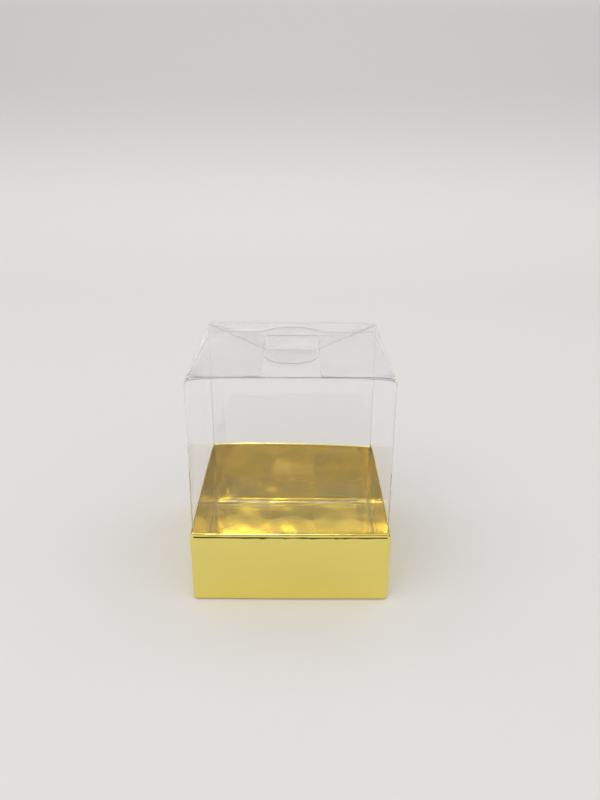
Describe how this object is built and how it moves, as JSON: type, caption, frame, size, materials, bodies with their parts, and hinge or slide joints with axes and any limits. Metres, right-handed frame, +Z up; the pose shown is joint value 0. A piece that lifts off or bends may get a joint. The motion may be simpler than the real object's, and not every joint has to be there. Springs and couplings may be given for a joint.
{
  "type": "favor box",
  "caption": "Square clear film favor box, folded with tongue-and-window lock flaps at top and bottom, standing in a shallow gold board tray with rolled-over walls.",
  "frame": {"origin": "centre of the tray's underside, on the surface that the box stands on", "axes": "+Z up, -Y towards the front, the side that the top's window flap is hinged on, +X to its right"},
  "size_m": [0.0626, 0.0626, 0.075],
  "materials": {
    "gold_board": "polished",
    "clear_film": "polished"
  },
  "bodies": {
    "tray": {"tray_floor": "gold_board", "tray_front_wall": "gold_board", "tray_front_lining": "gold_board", "tray_right_wall": "gold_board", "tray_right_lining": "gold_board", "tray_back_wall": "gold_board", "tray_back_lining": "gold_board", "tray_left_wall": "gold_board", "tray_left_lining": "gold_board", "tray_front_left_tab": "gold_board", "tray_front_right_tab": "gold_board", "tray_back_left_tab": "gold_board", "tray_back_right_tab": "gold_board"},
    "clear_box": {"film_front_wall": "clear_film", "film_back_wall": "clear_film", "film_right_wall": "clear_film", "film_left_wall": "clear_film", "film_glue_flap": "clear_film", "bottom_back_flap": "clear_film", "bottom_front_flap": "clear_film", "bottom_tongue": "clear_film", "bottom_left_flap": "clear_film", "bottom_right_flap": "clear_film"},
    "front_flap": {"top_front_flap": "clear_film"},
    "back_flap": {"top_back_flap": "clear_film", "top_tongue": "clear_film"},
    "left_flap": {"top_left_flap": "clear_film"},
    "right_flap": {"top_right_flap": "clear_film"}
  },
  "joints": [
    {"name": "clear_box_lift", "type": "slide", "parent": "tray", "child": "clear_box", "axis": [0, 0, 1], "range_m": [0, 0.04]},
    {"name": "front_flap_crease", "type": "hinge", "parent": "clear_box", "child": "front_flap", "pos_m": [0, -0.03, 0.0745], "axis": [1, 0, 0], "range_deg": [0, 240], "deforming": ["top_tongue"]},
    {"name": "back_flap_crease", "type": "hinge", "parent": "clear_box", "child": "back_flap", "pos_m": [0, 0.03, 0.074], "axis": [-1, 0, 0], "range_deg": [0, 144]},
    {"name": "left_flap_crease", "type": "hinge", "parent": "clear_box", "child": "left_flap", "pos_m": [-0.03, 0, 0.0735], "axis": [0, -1, 0], "range_deg": [0, 60]},
    {"name": "right_flap_crease", "type": "hinge", "parent": "clear_box", "child": "right_flap", "pos_m": [0.03, 0, 0.0735], "axis": [0, 1, 0], "range_deg": [0, 60]}
  ],
  "couplings": [
    {"joint": "back_flap_crease", "follows": "front_flap_crease", "ratio": 0.6},
    {"joint": "left_flap_crease", "follows": "front_flap_crease", "ratio": 0.25},
    {"joint": "right_flap_crease", "follows": "front_flap_crease", "ratio": 0.25}
  ]
}
